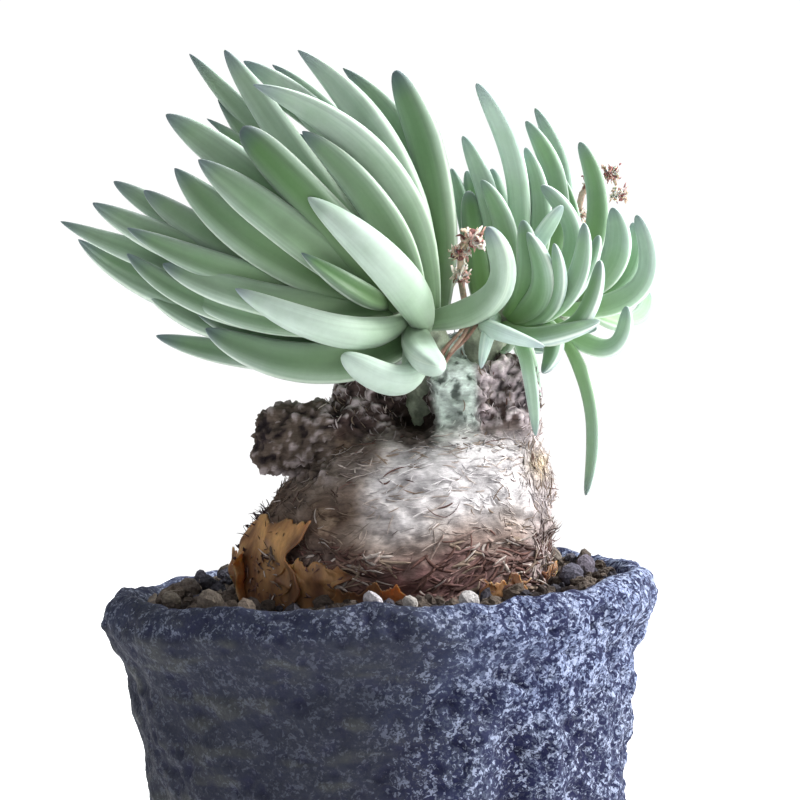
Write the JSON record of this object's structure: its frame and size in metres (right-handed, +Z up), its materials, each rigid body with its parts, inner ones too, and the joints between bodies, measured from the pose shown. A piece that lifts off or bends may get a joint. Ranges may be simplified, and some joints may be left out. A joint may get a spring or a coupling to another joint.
{
  "type": "potted tylecodon pearsonii",
  "caption": "Small caudiciform succulent with fleshy blue-green leaves, standing in gravel in a rough tapered stoneware pot.",
  "frame": {"origin": "middle of the pot's flat underside", "axes": "+Z up through the pot, +X to the right and +Y to the back as the plant is seen from its front"},
  "size_m": [0.097, 0.09, 0.167],
  "materials": {
    "stoneware": "rough, pitted, unglazed slate blue-grey",
    "gravel": "loose dry grey-brown lumps",
    "bark": "peeling, fibrous, cream to dark brown",
    "leaf": "satin skin under a pale waxy bloom",
    "dried_petal": "dry, crinkled, pinkish brown"
  },
  "bodies": {
    "root": {"pot": "stoneware", "soil": "gravel", "caudex": "bark", "leaf_crown_left": "leaf", "leaf_crown_right": "leaf", "dried_flower_left": "dried_petal", "dried_flower_right": "dried_petal"}
  },
  "joints": []
}
